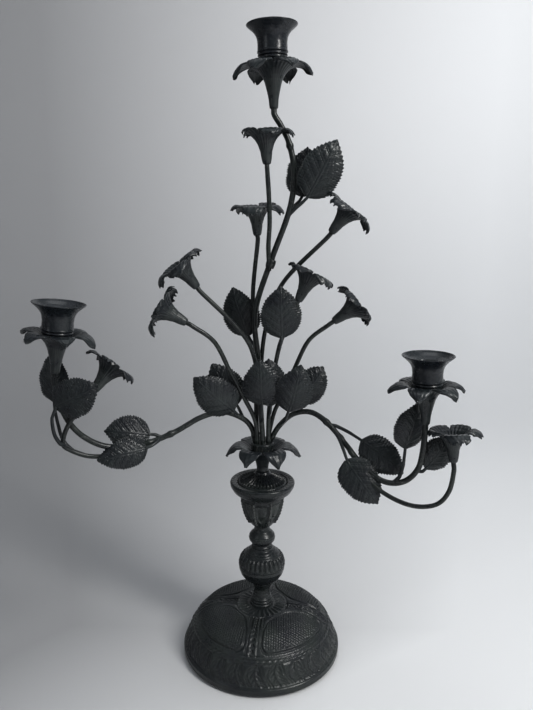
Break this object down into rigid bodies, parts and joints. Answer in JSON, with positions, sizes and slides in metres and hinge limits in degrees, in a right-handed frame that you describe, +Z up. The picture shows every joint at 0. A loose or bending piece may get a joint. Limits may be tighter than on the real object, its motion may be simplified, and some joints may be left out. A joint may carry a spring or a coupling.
{
  "type": "tabletop candelabra",
  "caption": "Tabletop candelabra: domed round foot, turned column with knops and urn, a bouquet of lily stems and leaves, two branching arms, and a flared candle cup on each.",
  "frame": {"origin": "middle of the felt underside, on the column axis, at the table surface", "axes": "+Z up along the column; -Y towards the front that the arms sweep to; the left arm reaches towards -X and the right arm towards +X"},
  "size_m": [0.4165, 0.1875, 0.6378],
  "materials": {
    "felt": "dark green felt",
    "steel": "plain steel, dull",
    "column_iron": "black paint on cast iron, satin",
    "cup_black": "black paint, satin, worn inside the cup",
    "leaf_black": "black paint on cast metal, satin",
    "rod_black": "black paint on iron rod, satin",
    "petal_black": "black paint on cast metal, satin"
  },
  "bodies": {
    "frame": {"felt_pad": "felt", "bottom_plate": "steel", "base_shell": "column_iron", "tie_rod": "steel", "tie_washer": "steel", "tie_nut": "steel", "pedestal": "column_iron", "large_knop": "column_iron", "small_knop": "column_iron", "urn": "column_iron", "urn_cover": "column_iron", "bouquet_lily": "petal_black", "stem_socket": "column_iron", "main_stem": "rod_black", "stem_a": "rod_black", "stem_b": "rod_black", "stem_c": "rod_black", "stem_d": "rod_black", "stem_e": "rod_black", "stem_f": "rod_black", "stem_g": "rod_black", "flower_a": "petal_black", "flower_b": "petal_black", "flower_c": "petal_black", "flower_d": "petal_black", "flower_e": "petal_black", "flower_f": "petal_black", "flower_g": "petal_black", "left_arm": "rod_black", "left_twig": "rod_black", "left_arm_flower": "petal_black", "right_arm": "rod_black", "right_twig": "rod_black", "right_arm_flower": "petal_black", "top_lily": "petal_black", "left_lily": "petal_black", "right_lily": "petal_black", "cup_screws": "steel", "leaf_top_front": "leaf_black", "leaf_top_back": "leaf_black", "leaf_upper_left": "leaf_black", "leaf_upper_right": "leaf_black", "leaf_centre_front": "leaf_black", "leaf_centre_back": "leaf_black", "leaf_low_left_front": "leaf_black", "leaf_low_left_back": "leaf_black", "leaf_low_right_front": "leaf_black", "leaf_low_right_back": "leaf_black", "leaf_arm_left_lower": "leaf_black", "leaf_arm_left_upper": "leaf_black", "leaf_arm_left_cup": "leaf_black", "leaf_arm_left_loop": "leaf_black", "leaf_arm_right_lower": "leaf_black", "leaf_arm_right_upper": "leaf_black", "leaf_arm_right_cup": "leaf_black", "leaf_arm_right_outer": "leaf_black"},
    "top_candle_cup": {"top_cup": "cup_black"},
    "left_candle_cup": {"left_cup": "cup_black"},
    "right_candle_cup": {"right_cup": "cup_black"}
  },
  "joints": [
    {"name": "top_cup_turn", "type": "hinge", "parent": "frame", "child": "top_candle_cup", "pos_m": [0.00669, 0, 0.60168], "axis": [-0.0349, 0, 0.9994], "continuous": true},
    {"name": "left_cup_turn", "type": "hinge", "parent": "frame", "child": "left_candle_cup", "pos_m": [-0.18466, -0.07, 0.35441], "axis": [0.1132, 0, 0.9936], "continuous": true},
    {"name": "right_cup_turn", "type": "hinge", "parent": "frame", "child": "right_candle_cup", "pos_m": [0.14919, -0.07, 0.3099], "axis": [-0.0175, 0, 0.9998], "continuous": true}
  ]
}
